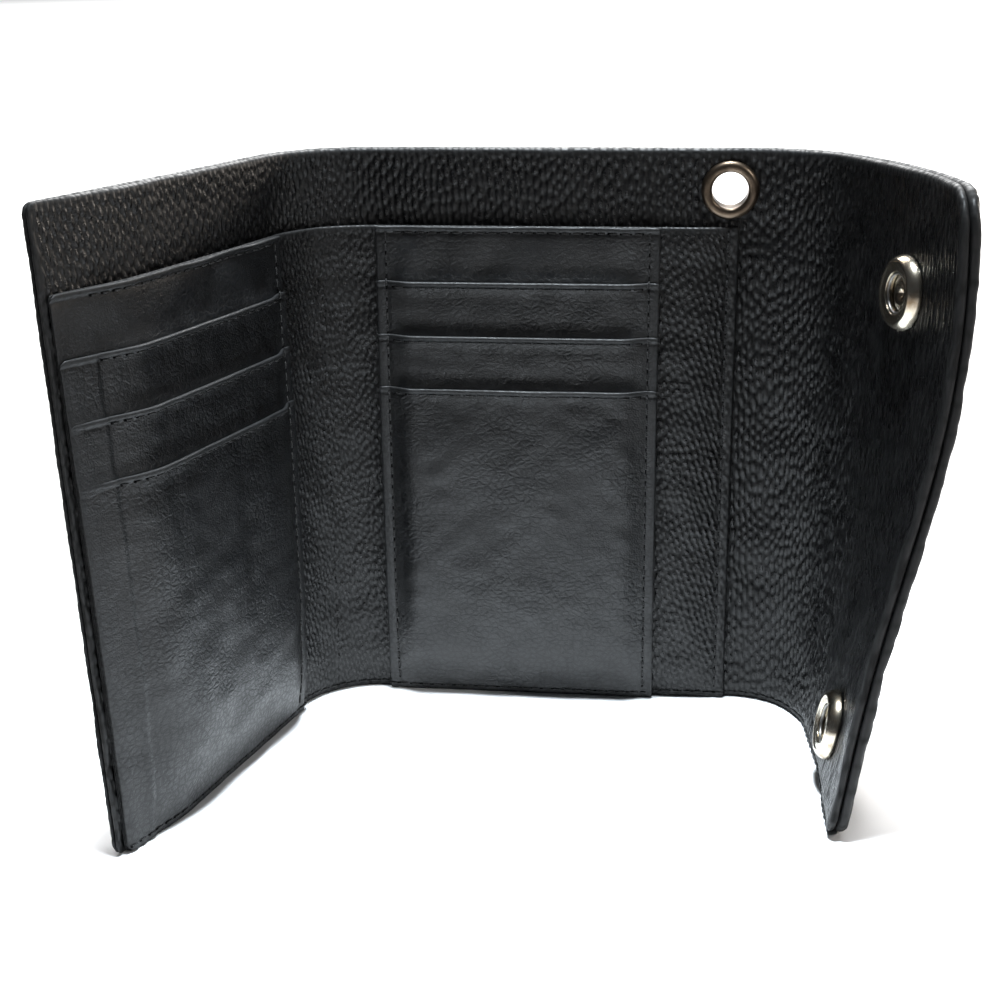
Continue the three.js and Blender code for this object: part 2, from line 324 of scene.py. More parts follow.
def shell_outer(u, v):
    seam = groove(v - BOTTOM_SEAM_RISE, SHELL_SEAM.width)
    grain = grain_relief(SHELL_GRAIN, u, v, np.maximum(seam, worn(u, v, RIGHT_EDGE, HEIGHT, WORN_EDGE)))
    face = SHELL.outer + pared(SHELL_PARED, u)
    return face + waves(SHELL_WAVE, u, v, 11) + SHELL_SEAM.depth * seam - grain


def shell_inner(u, v):
    return SHELL.inner - pared(JOINT_PARED, u) + 0 * v


def lining_outer(u, v):
    return LINING.outer - pared(JOINT_PARED, u) + 0 * v


def lining_face(u):
    """The lining's front face without its relief, which the bill panel is sewn to."""
    return LINING.inner - pared(LINING_PARED, u)


def lining_inner(u, v):
    around_eyelet = np.hypot(u - EYELET["u"], v - EYELET["v"])
    dent = 0.25 * groove(np.maximum(around_eyelet - EYELET["rim"], 0), 2.5)
    seam = groove(v - BOTTOM_SEAM_RISE, LINING_SEAM.width)
    stretched = 0.6 * smooth((u - RIGHT_HINGES["flap"]) / 14)
    calm = np.max([seam + 0 * u, worn(u, v, RIGHT_EDGE, HEIGHT, WORN_EDGE), stretched + 0 * v], 0)
    grain = grain_relief(LINING_GRAIN, u, v, calm)
    return lining_face(u) + waves(LINING_WAVE, u, v, 12) - dent - LINING_SEAM.depth * seam + grain


def bill_outer(u, v):
    sewn = np.minimum(BILL_RIGHT_EDGE - u, v)
    lift = smooth((sewn - 1.0) / 9.0) * near_edge(u)
    return lining_face(u) + SEWN_GAP + (BILL_PANEL.outer - SEWN_GAP) * lift


def bill_face(u, v):
    """The bill panel's front face without its grain, which the card stacks lie on."""
    return bill_outer(u, v) + (BILL_PANEL.inner - BILL_PANEL.outer) * thinned(u)


def bill_inner(u, v):
    from_seams = [v - BOTTOM_SEAM_RISE, BILL_RIGHT_EDGE - STACK_SEAM_INSET - u]
    seam = sum(groove(distance, LINING_SEAM.width) for distance in from_seams)
    edge = worn(u, v, BILL_RIGHT_EDGE, POCKET_TOP, BILL_WORN_EDGE)
    grain = grain_relief(BILL_GRAIN, u, v, np.maximum(np.minimum(seam, 1), edge))
    covered = np.max([(stack.left < u) & (u < stack.right) for stack in STACKS], 0)
    relief = (waves(BILL_WAVE, u, v, 13) + grain) * (1 - covered)
    return bill_face(u, v) - LINING_SEAM.depth * seam + relief


# A card stack is sewn along the sides whose seams are listed. The left one's near side is glued
Stack = namedtuple("Stack", "where left right body seed seams")
CENTRE_LEFT, CENTRE_RIGHT = -STACK_WIDTH / 2, STACK_WIDTH / 2
CENTRE_SEAMS = [CENTRE_LEFT + STACK_SEAM_INSET, CENTRE_RIGHT - STACK_SEAM_INSET]
LEFT_SEAM = LEFT_STACK_START - STACK_SEAM_INSET
STACKS = [
    Stack("left", LEFT_EDGE + EDGE_INSET, LEFT_STACK_START, "left_panel", 31, [LEFT_SEAM]),
    Stack("centre", CENTRE_LEFT, CENTRE_RIGHT, "centre", 41, CENTRE_SEAMS),
]

# The strip pressed flat at the left stack's near side, and how far it stands out
HEM = 7.5
HEM_HEIGHT = 0.42

# How far each slot gapes at its mouth and how deep, and how far a face leans out over the next mouth
MOUTH_GAPS = {1: 0.95, 2: 0.95, 3: 0.58}
MOUTH_DEPTH = 3.0
SLOT_FLARE = 0.85

# The turned lips at the top of the slots and the backing, and the swell of a slot and of the large pocket
SLOT_LIP = 0.45
BACKING_LIP = 0.3
SLOT_EDGE = 0.45
SLOT_SWELL = 0.16
POCKET_SWELL = 0.55


def from_seam(stack, u):
    """How far a place is from the stack's nearest side seam, towards the middle of the stack."""
    middle = (stack.left + stack.right) / 2
    return np.min([(u - seam) * np.sign(middle - seam) for seam in stack.seams], 0)


def backing_outer(stack, u, v):
    return bill_face(u, v) + 0.1


def backing_face(stack, u, v):
    return backing_outer(stack, u, v) + BACKING_THICKNESS * thinned(u)


def flare(below):
    """How far a face leans out just above the mouth of the next slot, which shades it there."""
    rise = np.clip((below - SLOT_STEP + 3.8) / 3.8, 0, 1.1) ** 2
    return SLOT_FLARE * rise * (1 - smooth((below - SLOT_STEP - 0.3) / 3))


def backing_inner(stack, u, v):
    puff = waves(BACKING_WAVE, u, v, stack.seed) * smooth(from_seam(stack, u) / 5) * near_edge(u)
    top_seam = BACKING_SEAM.depth * groove(POCKET_TOP - SLOT_SEAM_DROP - v, BACKING_SEAM.width)
    lip = BACKING_LIP * smooth((v - (POCKET_TOP - 1.3)) / 0.4)
    lean = flare(POCKET_TOP - v) * smooth(from_seam(stack, u) / 4.5) * near_edge(u)
    return backing_face(stack, u, v) + puff + lean - top_seam + lip


def slot_top(number):
    return POCKET_TOP - number * SLOT_STEP


def slot_outer(stack, number, u, v):
    """Back face of a card slot: pressed along the seams, puffed up between them, and open at its mouth."""
    bottoms = [(SLOT_COUNT - below) * SLOT_STEP for below in range(1, number)]
    layers = sum((smooth((v - bottom + 3) / 6) for bottom in bottoms), np.zeros(np.shape(v)))
    pressed = 0.1 + 0.42 * layers * thinned(u)
    nominal = SLOT_GAP + (number - 1) * (SLOT_THICKNESS + SLOT_GAP)
    body = smooth(from_seam(stack, u) / 6) * near_edge(u)
    height = smooth((v - 1.5) / 26) if number == SLOT_COUNT else 1.0
    mouth = MOUTH_GAPS[number] * smooth(1 - (slot_top(number) - v) / MOUTH_DEPTH)
    return backing_face(stack, u, v) + pressed + ((nominal - pressed) * height + mouth) * body


def slot_inner(stack, number, u, v):
    """Front face of a card slot, with its turned top edge, the seam below that and its soft strip."""
    below = slot_top(number) - v
    body = smooth(from_seam(stack, u) / 4.5) * (0.25 + 0.75 * near_edge(u))
    lip = SLOT_LIP * smooth((1.5 - below) / 0.6) * (0.15 + 0.85 * body)
    top_seam = SLOT_TOP_SEAM.depth * groove(below - SLOT_SEAM_DROP, SLOT_TOP_SEAM.width)
    side_seam = SLOT_SIDE_SEAM.depth * groove(from_seam(stack, u), SLOT_SIDE_SEAM.width)
    if number == SLOT_COUNT:
        strip = POCKET_SWELL * smooth((below - 1.5) / 14) * smooth(v / 13)
        strip = strip + waves(POCKET_WAVE, u, v, stack.seed + number) * smooth(v / 16)
    else:
        strip = SLOT_SWELL * np.sin(np.pi * np.clip((below - 1.2) / 8.5, 0, 1)) + flare(below)
    wrinkles = waves(WRINKLE, u * 0.7, v, stack.seed + 5 + number)
    hem = 0.0
    if stack.where == "left":
        distance = u - stack.left
        hem = HEM_HEIGHT * (1 - smooth((distance - HEM) / 1.4)) * smooth(distance / 3)
    front = slot_outer(stack, number, u, v) + SLOT_THICKNESS * thinned(u)
    return front + lip - top_seam - side_seam + hem + (strip + wrinkles) * body


# ---- Meshes


def spread(start, end, step, fine=()):
    """Stations from start to end, about step apart, and closer together near each (place, reach, step)."""
    points = [start]
    while points[-1] < end - 1e-9:
        here = points[-1]
        pace = step
        for centre, reach, close in fine:
            if abs(here - centre) < reach or 0 < centre - reach - here < close:
                pace = min(pace, close)
        points.append(here + pace)
    if len(points) > 2 and end - points[-2] < 0.4 * step:
        points.pop()
    points[-1] = end
    return np.array(points)


def corner_rise(distance, radius):
    """How far the edge stands in from its straight line at a distance from a rounded corner."""
    short = np.clip(radius - distance, 0, radius)
    return radius - np.sqrt(np.maximum(radius**2 - short**2, 0))


def finish_mesh(name, points, faces, material, smooth_faces=None):
    mesh = bpy.data.meshes.new(name)
    mesh.from_pydata(points.tolist(), [], faces)
    if smooth_faces is None:
        smooth_faces = np.ones(len(faces), bool)
    mesh.polygons.foreach_set("use_smooth", smooth_faces)
    mesh.materials.append(material)
    mesh.update()
    piece = bpy.data.objects.new(name, mesh)
    bpy.context.scene.collection.objects.link(piece)
    return piece


def belongs(piece, body, node):
    """The body that carries a rigid piece, and the CAD node it stands in for."""
    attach(piece, body)
    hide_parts(node)


def full_turn(count):
    return np.linspace(0, 2 * np.pi, count, endpoint=False)


def values_of(items, field, kind=np.int32):
    values = np.zeros(len(items), kind)
    items.foreach_get(field, values)
    return values


def add_attribute(piece, name, kind, values):
    attribute = piece.data.attributes.new(name, kind, "POINT")
    field = "vector" if kind == "FLOAT_VECTOR" else "value"
    attribute.data.foreach_set(field, np.ascontiguousarray(values, np.float32).ravel())


def quad_corners(grid):
    """A grid's vertices at each of the four corners of its quads."""
    return grid[:-1, :-1], grid[1:, :-1], grid[1:, 1:], grid[:-1, 1:]


# Steps of the grids of pebbled and of smooth leather, and of both near a seam or an edge
GRAIN_STEP = 0.35
SMOOTH_STEP = 0.9
FINE_STEP = 0.3

# Steps round a free edge, how far its burnish reaches, and the grid steps that a hidden face takes at once
RIM_STEPS = 6
POLISHED_BAND = 1.3
COARSE = 3


class Sheet:
    """A closed sheet of leather on a grid of (u, v), with rounded free edges and flat cut edges.

    It stands between low and high on stations us and rows, and inner(u, v) and outer(u, v) give its faces.
    corners is a side and its bottom and top radius, cut lists the sides that are cut, and hole is (u, v,
    radius). The hidden face, "inner" or "outer", has a coarser grid than the face that shows.
    """

    def __init__(
        self, us, rows, low, high, inner, outer, edge,
        corners=None, cut=(), hole=None, grain=None, hidden=None,
    ):
        self.us, self.rows = us, rows
        self.inner, self.outer, self.edge = inner, outer, edge
        self.cut, self.hole = cut, hole
        self.pebbled, self.hidden = grain, hidden
        low_edge = np.full(len(us), low + edge)
        high_edge = np.full(len(us), high - edge)
        if corners:
            side, bottom, top = corners
            distance = np.abs(us - (us[0] if side == "left" else us[-1]))
            low_edge += corner_rise(distance, max(bottom - edge, 0.01))
            high_edge -= corner_rise(distance, max(top - edge, 0.01))
        share = (rows - rows[0]) / (rows[-1] - rows[0])
        self.u = np.repeat(us[:, None], len(rows), 1)
        self.v = low_edge[:, None] + (high_edge - low_edge)[:, None] * share

    def boundary(self):
        """Grid places round the edge, counter-clockwise seen from inside the wallet, and each edge's side."""
        last_u, last_v = len(self.us) - 1, len(self.rows) - 1
        steps = [(i, 0, "bottom") for i in range(last_u)]
        steps += [(last_u, j, "right") for j in range(last_v)]
        steps += [(i, last_v, "top") for i in range(last_u, 0, -1)]
        steps += [(0, j, "left") for j in range(last_v, 0, -1)]
        places = np.array([(i, j) for i, j, _ in steps])
        return places, np.array([side not in self.cut for _, _, side in steps])

    def outward(self, places, free):
        """Unit directions out of the sheet in (u, v) round the boundary, and none along a cut edge."""
        points = np.stack([self.u[tuple(places.T)], self.v[tuple(places.T)]], -1)
        ahead = np.roll(points, -1, 0) - points
        normals = np.stack([ahead[:, 1], -ahead[:, 0]], -1)
        normals /= np.maximum(np.linalg.norm(normals, axis=1, keepdims=True), 1e-9)
        normals *= free[:, None]
        both = normals + np.roll(normals, 1, 0)
        length = np.linalg.norm(both, axis=1, keepdims=True)
        return both / np.maximum(length, 1e-9) * (length > 0.1)

    def kept_quads(self):
        """Which of the grid's quads are left round the hole."""
        kept = np.ones((len(self.us) - 1, len(self.rows) - 1), bool)
        if self.hole:
            hole_u, hole_v, radius = self.hole
            near = np.hypot(self.u - hole_u, self.v - hole_v) < radius
            kept &= ~(near[:-1, :-1] | near[1:, :-1] | near[:-1, 1:] | near[1:, 1:])
        return kept

    def polish(self):
        """1 on the burnished rim, fading to 0 a little way in."""
        distances = {
            "left": self.u - self.us[0],
            "right": self.us[-1] - self.u,
            "bottom": self.v - self.v[:, :1],
            "top": self.v[:, -1:] - self.v,
        }
        nearest = np.min([d for side, d in distances.items() if side not in self.cut], 0)
        return 1 - smooth(nearest / POLISHED_BAND)

    def rim(self, places, free, inner, outer):
        """(u, v, w) round the rounded edge, ring after ring from the inner face to the outer one."""
        index = tuple(places.T)
        away = self.outward(places, free)
        middle, half = (inner + outer)[index] / 2, (inner - outer)[index] / 2
        angles = np.pi * np.arange(1, RIM_STEPS)[:, None] / RIM_STEPS
        out = self.edge * np.sin(angles)
        u, v = self.u[index] + away[:, 0] * out, self.v[index] + away[:, 1] * out
        return u.ravel(), v.ravel(), (middle + half * np.cos(angles)).ravel()

    def side_faces(self, side, grid, kept):
        """Faces over the vertices of one side, counter-clockwise seen from inside the wallet."""
        if side == self.hidden:
            return self.coarse_faces(grid)
        return np.stack([corner[kept] for corner in quad_corners(grid)], -1).tolist()

    def hole_walls(self, front, kept):
        """Quads through the sheet round its hole."""
        a, b, c, d = quad_corners(front)
        beside = np.pad(kept, 1, constant_values=True)
        walls = []
        for start, end, across in (
            (a, b, beside[1:-1, :-2]),
            (b, c, beside[2:, 1:-1]),
            (c, d, beside[1:-1, 2:]),
            (d, a, beside[:-2, 1:-1]),
        ):
            open_side = kept & ~across
            first, second = start[open_side], end[open_side]
            walls.append(np.stack([first, first + front.size, second + front.size, second], -1))
        return np.concatenate(walls).tolist()

    def rim_quads(self, places, front):
        """Quads round the rounded edge, whose rings of vertices follow those of both sides."""
        loop = len(places)
        inner_ring = front[tuple(places.T)]
        rings = [inner_ring]
        rings += [2 * front.size + k * loop + np.arange(loop) for k in range(RIM_STEPS - 1)]
        rings.append(inner_ring + front.size)
        quads = [
            np.stack([upper, lower, np.roll(lower, -1), np.roll(upper, -1)], -1)
            for upper, lower in zip(rings, rings[1:])
        ]
        return np.concatenate(quads).tolist()

    def build(self, name, material):
        """Both sides, the hole's walls and the rim as one mesh, with the attributes its material reads."""
        inner, outer = self.inner(self.u, self.v), self.outer(self.u, self.v)
        places, free = self.boundary()
        rim_u, rim_v, rim_w = self.rim(places, free, inner, outer)
        u = np.concatenate([self.u.ravel(), self.u.ravel(), rim_u])
        v = np.concatenate([self.v.ravel(), self.v.ravel(), rim_v])
        w = np.concatenate([inner.ravel(), outer.ravel(), rim_w])
        polish = np.concatenate([self.polish().ravel()] * 2 + [np.ones(len(rim_u))])

        front = np.arange(self.u.size).reshape(self.u.shape)
        back = front + front.size
        kept = self.kept_quads()
        faces = self.side_faces("inner", front, kept)
        faces += [face[::-1] for face in self.side_faces("outer", back, kept)]
        walls = self.hole_walls(front, kept)
        smooth_faces = np.repeat([True, False], [len(faces), len(walls)])
        smooth_faces = np.concatenate([smooth_faces, np.tile(free, RIM_STEPS)])
        faces += walls + self.rim_quads(places, front)

        used = np.unique(np.concatenate(faces))
        position = np.full(len(u), -1)
        position[used] = np.arange(len(used))
        faces = [position[face].tolist() for face in faces]
        u, v, w = u[used], v[used], w[used]
        piece = finish_mesh(name, place(u, np.clip(v, 0, HEIGHT), w), faces, material, smooth_faces)
        add_attribute(piece, "grain", "FLOAT_VECTOR", np.stack([grain_across(u), v, np.zeros_like(v)], -1))
        add_attribute(piece, "polish", "FLOAT", polish[used])
        # The pebble attribute gives the grain's roughness, and its painted shade in the creases.
        if self.pebbled:
            add_attribute(piece, "pebble", "FLOAT", pebbles(self.pebbled, u, v))
        self.match_cut_normals(piece, position, places, free, front, back)
        return piece

    def coarse_faces(self, grid):
        """Faces over a grid of vertices that use every few rows and columns, and all of the boundary."""
        last_u, last_v = grid.shape[0] - 1, grid.shape[1] - 1
        marks_u, marks_v = ([*range(0, last - COARSE, COARSE), last] for last in (last_u, last_v))
        faces = []
        for i0, i1 in zip(marks_u, marks_u[1:]):
            for j0, j1 in zip(marks_v, marks_v[1:]):
                step_bottom = 1 if j0 == 0 else i1 - i0
                step_right = 1 if i1 == last_u else j1 - j0
                step_top = 1 if j1 == last_v else i1 - i0
                step_left = 1 if i0 == 0 else j1 - j0
                ring = [grid[i, j0] for i in range(i0, i1, step_bottom)]
                ring += [grid[i1, j] for j in range(j0, j1, step_right)]
                ring += [grid[i, j1] for i in range(i1, i0, -step_top)]
                ring += [grid[i0, j] for j in range(j1, j0, -step_left)]
                faces.append(ring)
        return faces

    def face_normals(self, face, u, v):
        """Normals of one face of the sheet, worked out from its shape on both sides of a cut."""
        step = 0.25
        along = place(u + step, v, face(u + step, v)) - place(u - step, v, face(u - step, v))
        up = place(u, v + step, face(u, v + step)) - place(u, v - step, face(u, v - step))
        normals = np.cross(along, up)
        return normals / np.linalg.norm(normals, axis=1, keepdims=True)

    def match_cut_normals(self, piece, position, places, free, front, back):
        """Shades both sides of a cut alike, so that the two pieces look like one sheet."""
        cut_places = places[~(free & np.roll(free, 1))]
        if not len(cut_places):
            return
        index = tuple(cut_places.T)
        u, v = self.u[index], self.v[index]
        mesh = piece.data
        wanted = np.zeros((len(mesh.vertices), 3))
        wanted[position[front[index]]] = self.face_normals(self.inner, u, v)
        wanted[position[back[index]]] = -self.face_normals(self.outer, u, v)
        corners = values_of(mesh.loops, "vertex_index")
        shaded = values_of(mesh.polygons, "use_smooth", bool)
        sizes = values_of(mesh.polygons, "loop_total")
        normals = wanted[corners] * np.repeat(shaded, sizes)[:, None]
        mesh.normals_split_custom_set(normals.tolist())


# ---- Materials


class Nodes:
    """Short names for making and linking shader nodes."""

    def __init__(self, material):
        material.use_nodes = True
        self.tree = material.node_tree
        self.shader = self.tree.nodes["Principled BSDF"]

    def add(self, kind, inputs=None, **settings):
        node = self.tree.nodes.new("ShaderNode" + kind)
        for key, value in settings.items():
            setattr(node, key, value)
        for key, value in (inputs or {}).items():
            self.feed(node.inputs[key], value)
        return node

    def feed(self, socket, value):
        if isinstance(value, bpy.types.NodeSocket):
            self.tree.links.new(value, socket)
        else:
            socket.default_value = value

    def paint(self, name, value):
        """Feeds a socket of the surface's own shader."""
        self.feed(self.shader.inputs[name], value)

    def attribute(self, name, output="Fac"):
        return self.add("Attribute", attribute_name=name).outputs[output]

    def math(self, operation, a, b=0.0):
        return self.add("Math", {0: a, 1: b}, operation=operation).outputs[0]

    def plus(self, a, b):
        return self.math("ADD", a, b)

    def times(self, a, b):
        return self.math("MULTIPLY", a, b)

    def move(self, vector, scale):
        return self.add("Mapping", {"Vector": vector, "Scale": scale}).outputs[0]

    def noise(self, vector, scale, detail=2.0, roughness=0.5):
        inputs = {"Vector": vector, "Scale": scale, "Detail": detail, "Roughness": roughness}
        return self.add("TexNoise", inputs).outputs["Fac"]

    def warp(self, vector, scale, amount):
        """The vector pushed about by noise, so that nothing in the pattern runs straight."""
        drift = self.add("TexNoise", {"Vector": vector, "Scale": scale, "Detail": 2.0}).outputs["Color"]
        centred = self.add("VectorMath", {0: drift, 1: (0.5, 0.5, 0.5)}, operation="SUBTRACT").outputs[0]
        scaled = self.add("VectorMath", {0: centred, "Scale": amount}, operation="SCALE").outputs[0]
        return self.add("VectorMath", {0: vector, 1: scaled}, operation="ADD").outputs[0]

    def cells(self, vector, scale, crease):
        """1 on top of each cell of the grain and 0 in the crease between cells."""
        settings = {"feature": "DISTANCE_TO_EDGE", "voronoi_dimensions": "2D"}
        edge = self.add("TexVoronoi", {"Vector": vector, "Scale": scale}, **settings).outputs["Distance"]
        return self.remap(edge, 0.0, crease, 0.0, 1.0, "SMOOTHSTEP")

    def remap(self, value, low, high, to_low, to_high, kind="LINEAR"):
        inputs = {"Value": value, "From Min": low, "From Max": high, "To Min": to_low, "To Max": to_high}
        return self.add("MapRange", inputs, interpolation_type=kind).outputs[0]

    def mix(self, factor, a, b):
        node = self.add("Mix", data_type="RGBA")
        self.feed(node.inputs[0], factor)
        self.feed(node.inputs[6], a)
        self.feed(node.inputs[7], b)
        return node.outputs[2]

    def bump(self, height, depth, strength=1.0):
        inputs = {"Height": height, "Distance": depth * MM, "Strength": strength}
        return self.add("Bump", inputs).outputs[0]


def new_material(name):
    material = bpy.data.materials.new(name)
    return material, Nodes(material)


def shade(grey, blue=0.0):
    return (grey, grey, grey * (1 + blue), 1.0)


def pebbled_leather(name):
    """Shrunken grain, whose pebbles are in the mesh: glossy on top, and painted darker in the creases between
    them as shade.
    """
    material, nodes = new_material(name)
    flat = nodes.attribute("grain", "Vector")
    pebble = nodes.attribute("pebble")
    polish = nodes.attribute("polish")
    wrinkle = nodes.cells(nodes.warp(nodes.move(flat, (1.7, 1.4, 1)), 1.2, 0.6), 1.0, 0.3)
    pores = nodes.noise(flat, 4.0, 3.0, 0.6)
    height = nodes.plus(nodes.times(wrinkle, 0.5), nodes.times(pores, 0.6))
    nodes.paint("Normal", nodes.bump(height, 0.06, nodes.remap(polish, 0, 1, 1.0, 0.25)))
    top = nodes.mix(nodes.noise(flat, 0.25), shade(0.003), shade(0.006, 0.1))
    # Painted shade: the creases between pebbles take a darker colour than the pebble tops.
    nodes.paint("Base Color", nodes.mix(pebble, shade(0.0008), top))
    patchy = nodes.remap(nodes.noise(flat, 0.09, 3.0), 0.3, 0.7, -0.03, 0.07)
    rough = nodes.plus(nodes.remap(pebble, 0, 0.8, 0.6, 0.25), patchy)
    nodes.paint("Roughness", nodes.plus(rough, nodes.times(polish, 0.22)))
    nodes.paint("Specular IOR Level", 0.38)
    return material


def smooth_leather(name):
    """Close smooth leather with a net of fine creases and a few longer wrinkles; the creases are painted
    darker as shade.
    """
    material, nodes = new_material(name)
    flat = nodes.attribute("grain", "Vector")
    polish = nodes.attribute("polish")
    net = nodes.cells(nodes.move(nodes.warp(flat, 0.3, 1.4), (0.6, 0.72, 1)), 1.0, 0.35)
    fine = nodes.cells(nodes.warp(flat, 1.0, 0.5), 1.7, 0.4)
    calm = nodes.remap(nodes.noise(flat, 0.06, 3.0), 0.4, 0.62, 0.3, 1.0)
    height = nodes.plus(nodes.times(nodes.times(net, 0.5), calm), nodes.times(fine, 0.25))
    height = nodes.plus(height, nodes.noise(flat, 0.5, 3.0))
    nodes.paint("Normal", nodes.bump(height, 0.11, nodes.remap(polish, 0, 1, 1.0, 0.4)))
    # Painted shade: both nets of creases take a darker colour than the cells between them, under a random
    # tone.
    crease = nodes.times(nodes.plus(net, fine), nodes.noise(flat, 0.12, 3.0))
    nodes.paint("Base Color", nodes.mix(crease, shade(0.001), (0.0055, 0.0062, 0.0075, 1)))
    rough = nodes.remap(nodes.noise(flat, 0.25, 3.0), 0.3, 0.7, 0.34, 0.46)
    rough = nodes.plus(rough, nodes.remap(net, 0, 1, 0.12, 0.0))
    nodes.paint("Roughness", nodes.plus(rough, nodes.times(polish, 0.12)))
    return material


def metal(name, colour, tarnish, roughness):
    """Plated metal with a little tarnish and fine polishing marks."""
    material, nodes = new_material(name)
    spot = nodes.add("TexCoord").outputs["Object"]
    cloud = nodes.noise(spot, 420.0, 4.0, 0.6)
    marks = nodes.noise(nodes.move(spot, (900, 900, 4200)), 1.0, 3.0)
    nodes.paint("Base Color", nodes.mix(nodes.remap(cloud, 0.45, 0.72, 0, 1), (*colour, 1), (*tarnish, 1)))
    nodes.paint("Roughness", nodes.remap(cloud, 0.3, 0.75, roughness, roughness + 0.12))
    nodes.paint("Normal", nodes.bump(marks, 0.006, 0.5))
    nodes.paint("Metallic", 1.0)
    return material


def thread_material():
    """Twisted black thread, painted darker as shade where its plies sink."""
    material, nodes = new_material("thread")
    plies = nodes.math("SINE", nodes.times(nodes.attribute("twist"), 2 * math.pi))
    nodes.paint("Normal", nodes.bump(plies, 0.03))
    # Painted shade: the colour darkens where the plies sink, following the bump.
    nodes.paint("Base Color", nodes.mix(nodes.remap(plies, -1, 1, 0, 1), shade(0.004), shade(0.016)))
    nodes.paint("Roughness", 0.55)
    return material


def hole_shade_material():
    """Painted shade: the near-black of a needle hole, on a plug set into the leather."""
    material, nodes = new_material("needle_hole_shade")
    spot = nodes.add("TexCoord").outputs["Object"]
    nodes.paint("Base Color", nodes.mix(nodes.noise(spot, 2000.0), shade(0.001), shade(0.004)))
    nodes.paint("Roughness", 0.9)
    nodes.paint("Specular IOR Level", 0.1)
    return material


SHELL_LEATHER = pebbled_leather("shell_leather")
LINING_LEATHER = pebbled_leather("lining_leather")
BILL_LEATHER = pebbled_leather("bill_panel_leather")
SMOOTH_LEATHER = smooth_leather("smooth_leather")
NICKEL = metal("nickel", (0.70, 0.64, 0.53), (0.36, 0.27, 0.18), 0.15)
BRONZED = metal("bronzed_nickel", (0.15, 0.115, 0.085), (0.08, 0.06, 0.042), 0.28)
SPRING_STEEL = metal("spring_steel", (0.3, 0.29, 0.28), (0.16, 0.15, 0.14), 0.32)
THREAD = thread_material()
# Near-black material of painted shade for the needle holes.
NEEDLE_HOLE_SHADE = hole_shade_material()


# ---- Shell, lining and bill compartment

# One span of leather for each hinge, from left to right in u. body_a is the body on its side of the hinge,
# body_b the one on the other and hinge where it bends, but nothing here makes the span follow them; it stands
# in for the listed CAD sheets of each layer
Span = namedtuple("Span", "where left right body_a body_b hinge sheets")
SPANS = [
    Span(
        "left", LEFT_EDGE, FOLD_MIDDLES[0],
        "left_fold", "left_panel", LEFT_HINGES["panel"], ("left", "left_fold"),
    ),
    Span(
        "centre_left", FOLD_MIDDLES[0], 0.0,
        "left_fold", "centre", LEFT_HINGES["centre"], ("centre",),
    ),
    Span(
        "centre_right", 0.0, FOLD_MIDDLES[1],
        "right_fold", "centre", RIGHT_HINGES["centre"], (),
    ),
    Span(
        "flap", FOLD_MIDDLES[1], RIGHT_EDGE,
        "right_fold", "right_flap", RIGHT_HINGES["flap"], ("right_fold", "flap"),
    ),
]

# A skin closes the cut sheets of one layer. Its rounded corners are listed by span, as Sheet takes them
Skin = namedtuple("Skin", "name slot material layer grain inner outer left right top corners seams hidden")
CORNERS = {
    "left": ("left", LEFT_CORNER, LEFT_CORNER),
    "flap": ("right", FLAP_BOTTOM_CORNER, FLAP_TOP_CORNER),
}
SKINS = [
    Skin(
        "shell", "shell_leather", SHELL_LEATHER, SHELL, SHELL_GRAIN, shell_inner, shell_outer,
        LEFT_EDGE, RIGHT_EDGE, HEIGHT, CORNERS, [], "inner",
    ),
    Skin(
        "lining", "lining_leather", LINING_LEATHER, LINING, LINING_GRAIN, lining_inner, lining_outer,
        LEFT_EDGE, RIGHT_EDGE, HEIGHT, CORNERS, [], "outer",
    ),
    Skin(
        "bill_panel", "lining_leather", BILL_LEATHER, BILL_PANEL, BILL_GRAIN, bill_inner, bill_outer,
        LEFT_EDGE + EDGE_INSET, BILL_RIGHT_EDGE, POCKET_TOP, {"left": ("left", LEFT_CORNER, 1.0)},
        [BILL_RIGHT_EDGE - STACK_SEAM_INSET], "outer",
    ),
]
EYELET_HOLE = (EYELET["u"], EYELET["v"], EYELET["tube"] + 0.1)


def bend_with(piece):
    """Bakes the piece's placement into its mesh; it does not bend the piece across a hinge or tie it to a
    body.
    """
    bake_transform(piece)


def add_skin(skin, span):
    """The part of a skin that lies in one span."""
    edge = (skin.layer.inner - skin.layer.outer) / 2
    left, right = max(span.left, skin.left + edge), min(span.right, skin.right - edge)
    ends = [("left", left, span.left), ("right", right, span.right)]
    fine_columns = [u for _, u, cut in ends if u != cut] + skin.seams
    fine_rows = [BOTTOM_SEAM_RISE, skin.top]
    holed = left < EYELET["u"] < right and EYELET["v"] < skin.top
    sheet = Sheet(
        spread(left, right, GRAIN_STEP, [(u, 2.5, FINE_STEP) for u in fine_columns]),
        spread(edge, skin.top - edge, 1.3 * GRAIN_STEP, [(v, 1.6, FINE_STEP) for v in fine_rows]),
        0.0,
        skin.top,
        skin.inner,
        skin.outer,
        edge,
        corners=skin.corners.get(span.where),
        cut=[side for side, u, cut in ends if u == cut],
        hole=EYELET_HOLE if holed else None,
        grain=skin.grain,
        hidden=None if holed else skin.hidden,
    )
    piece = sheet.build(f"{skin.name}_skin_{span.where}", skin.material)
    bend_with(piece)
    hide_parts(*(f"{skin.name}_{where}" for where in span.sheets))


def add_skins():
    for skin in SKINS:
        for span in SPANS:
            if span.left < skin.right:
                add_skin(skin, span)


# ---- Card stacks


